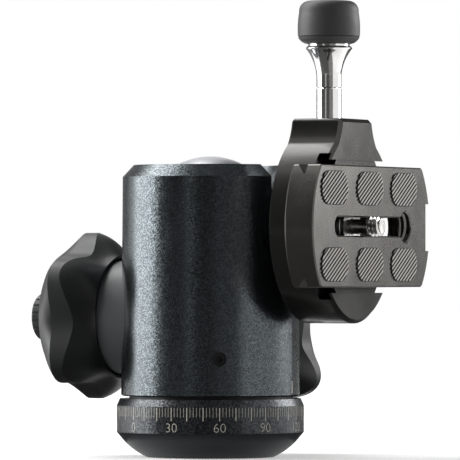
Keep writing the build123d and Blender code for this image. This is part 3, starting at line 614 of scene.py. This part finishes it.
# Camera screw. Turned from steel, with a rolled thread, a thin neck in the plate's slot and a wide
# bevelled head behind the plate.
coat(turned_steel, "slot_washer")
CAMERA_PITCH = 25.4 / 20
CAMERA_SCREW_Y = -4.9
SCREW_INSET, HEAD_BEVEL = 0.01, 0.4
HEAD_R, HEAD_SHOULDER, HEAD_FRONT = 6.97, 50.0, 50.4
NECK_R, NECK_FOOT_R, NECK_START = 2.35, 2.6, 50.7
THREAD_START, THREAD_CREST_R, THREAD_TIP_R = 57.3, 3.17, 2.6
screw_back, screw_tip = (corner.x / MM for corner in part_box("camera_screw"))
rows = [(screw_back + SCREW_INSET, HEAD_R - HEAD_BEVEL), (screw_back + HEAD_BEVEL, HEAD_R),
        (HEAD_SHOULDER, HEAD_R), (HEAD_FRONT, HEAD_R - HEAD_BEVEL),
        (HEAD_FRONT, NECK_FOOT_R), (NECK_START, NECK_R)]
rows += thread_rows(THREAD_START, screw_tip - SCREW_INSET, CAMERA_PITCH, NECK_R,
                    THREAD_CREST_R, THREAD_TIP_R)
points, faces = lathe(rows, (0, CAMERA_SCREW_Y, BALL_Z), (1, 0, 0), (0, 1, 0))
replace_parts(new_piece("threaded_screw", points, faces, "camera_screw", turned_steel),
            "camera_screw")


# Studio. A pale floor and a white surround. Dark cards and floor mats, out of the picture and
# seen only in reflections, keep the surround's glare off the front of the dark metal, as in a
# photographer's light tent. Lengths here are metres, angles are degrees.
scene = bpy.context.scene
VIEW_AZIMUTH = 24.2
toward_camera = Vector((sin(radians(VIEW_AZIMUTH)), -cos(radians(VIEW_AZIMUTH)), 0))
image_right = Vector((cos(radians(VIEW_AZIMUTH)), sin(radians(VIEW_AZIMUTH)), 0))
up = Vector((0, 0, 1))


def studio_material(name, grey, roughness, glow):
    """A grey surface that also gives off white light."""
    return new_material(name, Base_Color=(grey, grey, grey, 1), Roughness=roughness,
                        Emission_Color=(1, 1, 1, 1), Emission_Strength=glow)[0]


def stage_sheet(name, corners, material, reflected_only=False):
    """A flat sheet of the studio, which is no part of the object."""
    mesh = bpy.data.meshes.new(name)
    mesh.from_pydata(corners, [], [tuple(range(len(corners)))])
    mesh.materials.append(material)
    obj = bpy.data.objects.new(name, mesh)
    scene.collection.objects.link(obj)
    if reflected_only:
        obj.visible_camera = obj.visible_shadow = obj.visible_diffuse = False


def seen_by_eye(tree):
    """One for rays that reach the camera straight, in a mirror or through glass."""
    path = add(tree, "ShaderNodeLightPath")
    seen = math_node(tree, "MAXIMUM", path.outputs["Is Camera Ray"], path.outputs["Is Glossy Ray"])
    return math_node(tree, "MAXIMUM", seen, path.outputs["Is Transmission Ray"])


paper = studio_material("floor_paper", 0.85, roughness=0.9, glow=0.0)
NEAR_GLOW, FAR_GLOW = 0.3, 0.84
NEAR_RADIUS, FAR_RADIUS = 0.3, 1.5
tree = paper.node_tree
reach = add(tree, "ShaderNodeVectorMath", operation="LENGTH")
tree.links.new(add(tree, "ShaderNodeTexCoord").outputs["Object"], reach.inputs[0])
level = add(tree, "ShaderNodeMapRange", **{"From Min": NEAR_RADIUS, "From Max": FAR_RADIUS,
                                           "To Min": NEAR_GLOW, "To Max": FAR_GLOW})
tree.links.new(reach.outputs["Value"], level.inputs["Value"])
glow = math_node(tree, "MULTIPLY", seen_by_eye(tree), level.outputs["Result"])
tree.links.new(glow, tree.nodes["Principled BSDF"].inputs["Emission Strength"])
FLOOR_HALF = 6.0
stage_sheet("floor", [(x * FLOOR_HALF, y * FLOOR_HALF, 0)
                      for x, y in ((-1, -1), (1, -1), (1, 1), (-1, 1))], paper)

world = bpy.data.worlds.new("surround")
scene.world = world
world.use_nodes = True
tree = world.node_tree
SURROUND_LIGHT = 0.17
strength = add(tree, "ShaderNodeMapRange", **{"To Min": SURROUND_LIGHT, "To Max": 1.0})
tree.links.new(seen_by_eye(tree), strength.inputs["Value"])
tree.links.new(strength.outputs["Result"], tree.nodes["Background"].inputs["Strength"])
tree.nodes["Background"].inputs["Color"].default_value = (1, 1, 1, 1)


def bearing(angle):
    """Level direction seen from the object: 0 is the camera's side, 90 the picture's right."""
    return toward_camera * cos(radians(angle)) + image_right * sin(radians(angle))


dim_card = studio_material("dim_card", 0.0, roughness=1.0, glow=0.06)
grey_card = studio_material("grey_card", 0.0, roughness=1.0, glow=0.2)
light_card = studio_material("light_card", 0.0, roughness=1.0, glow=0.45)
CARD_DISTANCE = 0.8
CARD_LOW, CARD_HIGH = 0.01, 1.3
# Each card runs from one bearing to another. The mat under the light one is dim, since the side
# of the clamp reflects it.
CARDS = (
    (-170, -134, grey_card, grey_card),
    (-72, -33, dim_card, dim_card),
    (-33, -22, light_card, dim_card),
    (-22, 6, dim_card, dim_card),
    (6, 38, grey_card, grey_card),
    (125, 172, dim_card, dim_card),
)
NEAR_MAT, FAR_MAT, MAT_Z = 0.03, 0.11, 0.002
NEAR_MAT_END = 150
ARC_STEP = 10


def mat_ring(name, first, last, inner, outer, material):
    """Sector of a matt ring on the floor, from one bearing to another."""
    steps = max(2, round((last - first) / ARC_STEP))
    angles = [first + (last - first) * i / steps for i in range(steps + 1)]
    stage_sheet(name, [bearing(a) * outer + up * MAT_Z for a in angles]
                + [bearing(a) * inner + up * MAT_Z for a in reversed(angles)],
                material, reflected_only=True)


mat_ring("mat_near", -NEAR_MAT_END, NEAR_MAT_END, NEAR_MAT, FAR_MAT, dim_card)
for number, (first, last, card, mat) in enumerate(CARDS):
    ends = [bearing(angle) * CARD_DISTANCE for angle in (first, last)]
    stage_sheet(f"card_{number}", [
        ends[0] + up * CARD_LOW, ends[1] + up * CARD_LOW,
        ends[1] + up * CARD_HIGH, ends[0] + up * CARD_HIGH,
    ], card, reflected_only=True)
    mat_ring(f"mat_{number}", first, last, FAR_MAT, CARD_DISTANCE, mat)
CEILING_DEPTH, CEILING_LEFT, CEILING_RIGHT, CEILING_Z = 0.55, -0.3, 0.85, 1.2
stage_sheet("ceiling_card", [
    toward_camera * depth + image_right * side + up * CEILING_Z
    for depth, side in ((-CEILING_DEPTH, CEILING_LEFT), (CEILING_DEPTH, CEILING_LEFT),
                        (CEILING_DEPTH, CEILING_RIGHT), (-CEILING_DEPTH, CEILING_RIGHT))
], grey_card, reflected_only=True)
LAMP_AIM_Z = 0.06


def soft_light(name, angle, height, distance, size, power):
    """Rectangular lamp on a bearing, turned towards the object."""
    light = bpy.data.lights.new(name, "AREA")
    light.shape = "RECTANGLE"
    light.size, light.size_y = size
    light.energy = power
    obj = bpy.data.objects.new(name, light)
    scene.collection.objects.link(obj)
    middle = up * LAMP_AIM_Z
    obj.location = middle + bearing(angle) * distance + up * height
    obj.rotation_euler = (middle - obj.location).to_track_quat("-Z", "Y").to_euler()


soft_light("lamp_left", angle=-97, height=0.35, distance=1.0, size=(0.8, 1.3), power=17)
soft_light("lamp_right", angle=118, height=0.22, distance=0.75, size=(0.5, 0.4), power=3.8)
soft_light("lamp_top", angle=-140, height=0.9, distance=0.7, size=(0.7, 0.7), power=9)


# Camera. It stands level with the ball lock, at the photograph's distance and side.
CAMERA_DISTANCE = 1.9
CAMERA_HEIGHT = 0.060
AIM_RIGHT = 6.3 * MM
FRAME_WIDTH = 147.44 * MM
FRAME_PIXELS, HORIZON_PIXELS = 460, 39.5
SENSOR = 36
FAR_CLIP = 50
camera_data = bpy.data.cameras.new("camera")
camera_data.sensor_width = SENSOR
camera_data.lens = SENSOR * CAMERA_DISTANCE / FRAME_WIDTH
camera_data.shift_y = HORIZON_PIXELS / FRAME_PIXELS
camera_data.clip_end = FAR_CLIP
camera = bpy.data.objects.new("camera", camera_data)
scene.collection.objects.link(camera)
camera.location = image_right * AIM_RIGHT + toward_camera * CAMERA_DISTANCE + up * CAMERA_HEIGHT
camera.rotation_euler = (-toward_camera).to_track_quat("-Z", "Y").to_euler()
scene.camera = camera
scene.view_settings.view_transform = "Standard"
